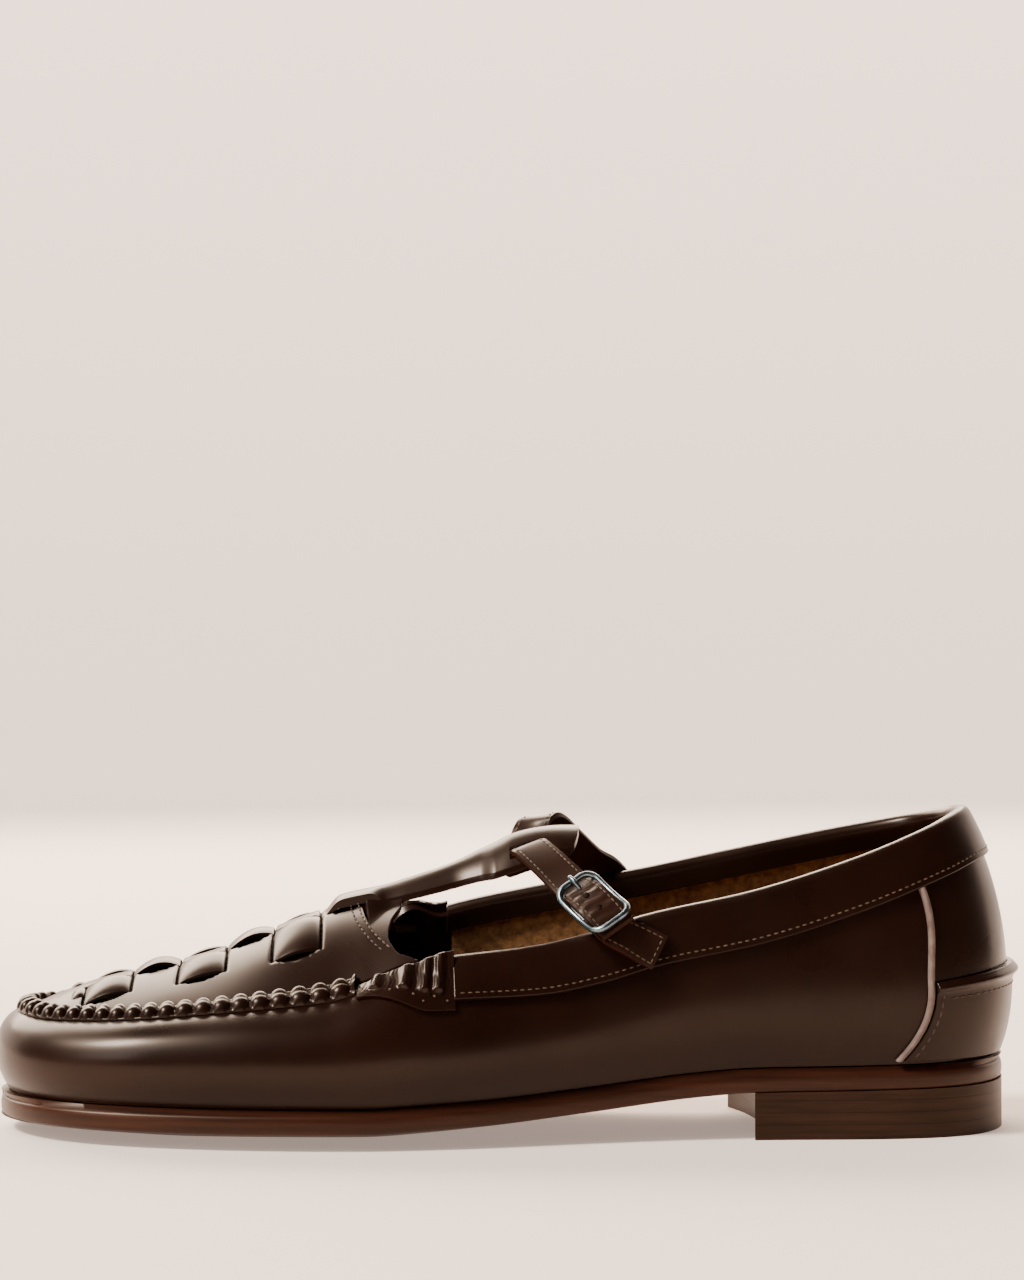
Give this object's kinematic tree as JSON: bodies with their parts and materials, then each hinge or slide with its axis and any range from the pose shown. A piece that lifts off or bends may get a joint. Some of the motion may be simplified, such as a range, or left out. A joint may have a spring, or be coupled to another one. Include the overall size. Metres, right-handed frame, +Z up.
{
  "type": "woven t-bar loafer",
  "caption": "Left moccasin loafer of dark brown leather with a woven apron, T-bar, buckled instep strap and low stacked heel",
  "frame": {"origin": "centre of the bounding box in plan, at the floor under the sole", "axes": "+X along the shoe from toe to heel, -Y to the lateral side with the buckle, +Z up"},
  "size_m": [0.2684, 0.0926, 0.0835],
  "materials": {
    "calf": "polished dark brown calf leather",
    "strap_leather": "polished dark brown strap leather, reddish at its cut edges",
    "piping": "pale raw-edged piping leather",
    "insole_suede": "tan flesh-side leather",
    "sole_leather": "stained and waxed sole leather",
    "heel_leather": "stained stacked leather lifts",
    "buckle_steel": "polished grey steel wire"
  },
  "bodies": {
    "root": {"outsole": "sole_leather", "heel": "heel_leather", "insole": "insole_suede", "upper": "calf", "apron": "calf", "moc_seam": "calf", "t_bar": "calf", "tab_lateral": "calf", "tab_medial": "calf", "collar_band": "calf", "heel_counter": "calf", "piping_lateral": "piping", "piping_medial": "piping", "instep_strap": "strap_leather", "anchor_strap": "strap_leather", "buckle_frame": "buckle_steel", "buckle_prong": "buckle_steel"}
  },
  "joints": []
}
